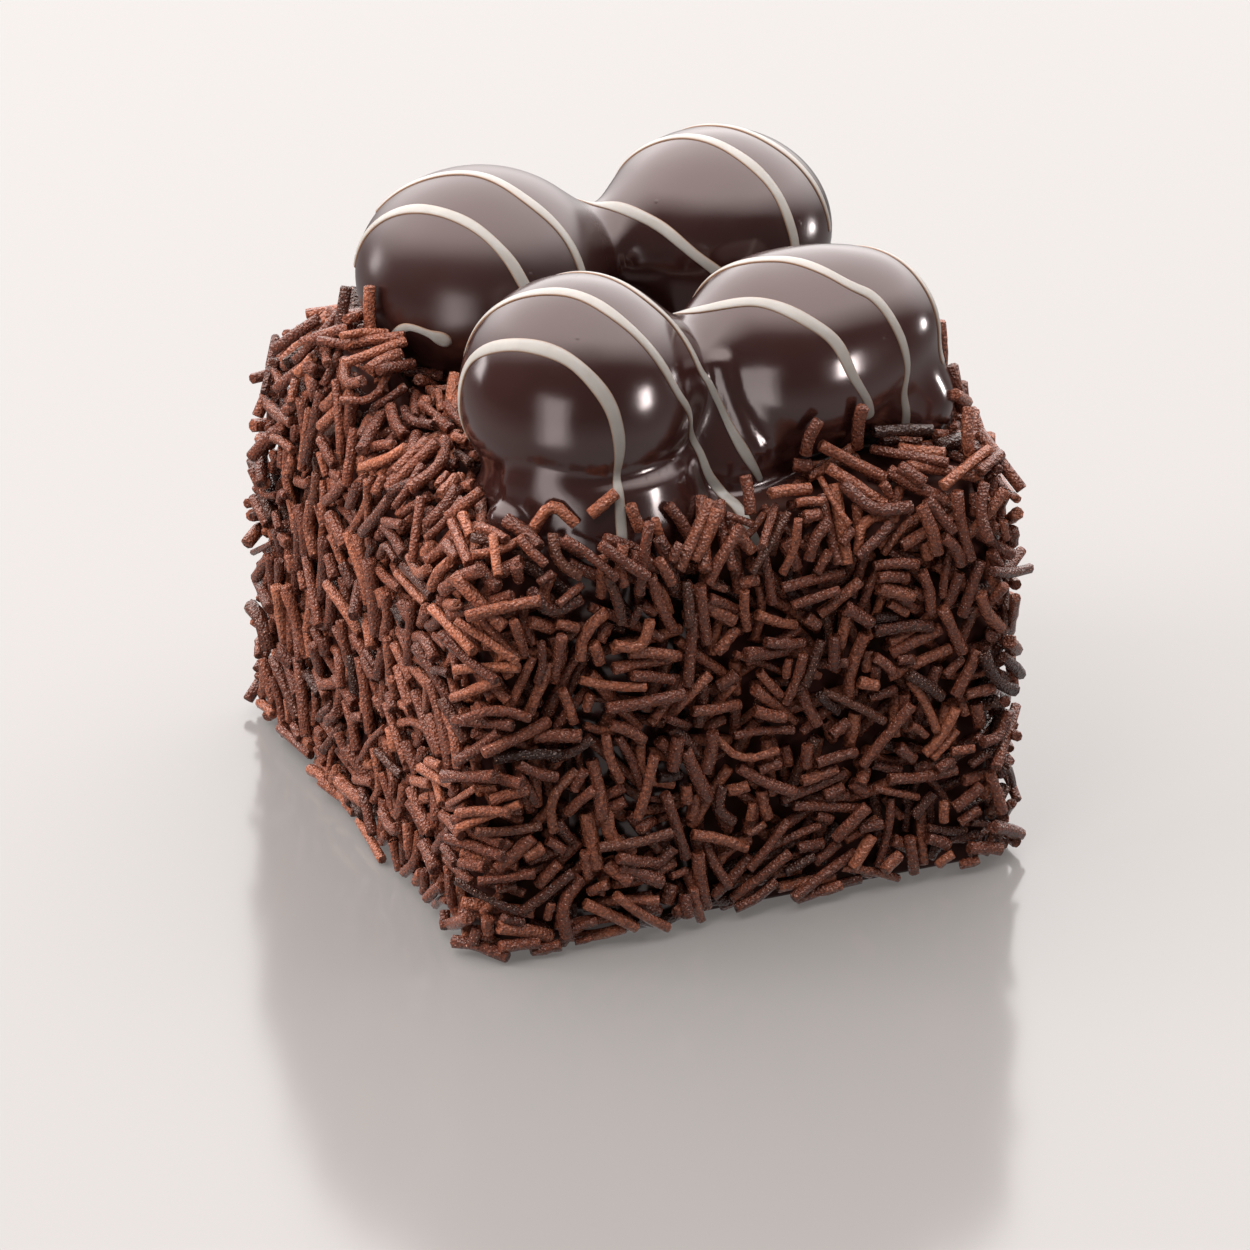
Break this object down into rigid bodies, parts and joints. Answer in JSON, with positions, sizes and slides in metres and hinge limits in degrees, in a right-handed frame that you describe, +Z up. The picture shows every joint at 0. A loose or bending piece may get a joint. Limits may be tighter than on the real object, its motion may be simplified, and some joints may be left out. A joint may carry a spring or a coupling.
{
  "type": "profiterole cake",
  "caption": "Small square chocolate cake coated in chocolate vermicelli, topped with glazed profiteroles crossed by lines of white icing.",
  "frame": {"origin": "middle of the flat underside, on the surface that the cake stands on", "axes": "+Z up; +X to the right along the front face; +Y from the front face to the back"},
  "size_m": [0.072, 0.0762, 0.0787],
  "materials": {
    "vermicelli": "matt, rough and slightly waxy milk-dark chocolate strands",
    "glaze": "high-gloss dark chocolate glaze",
    "icing": "smooth off-white icing"
  },
  "bodies": {
    "root": {"cake": "vermicelli", "profiterole_front": "glaze", "profiterole_left": "glaze", "profiterole_back": "glaze", "profiterole_right": "glaze"}
  },
  "joints": []
}
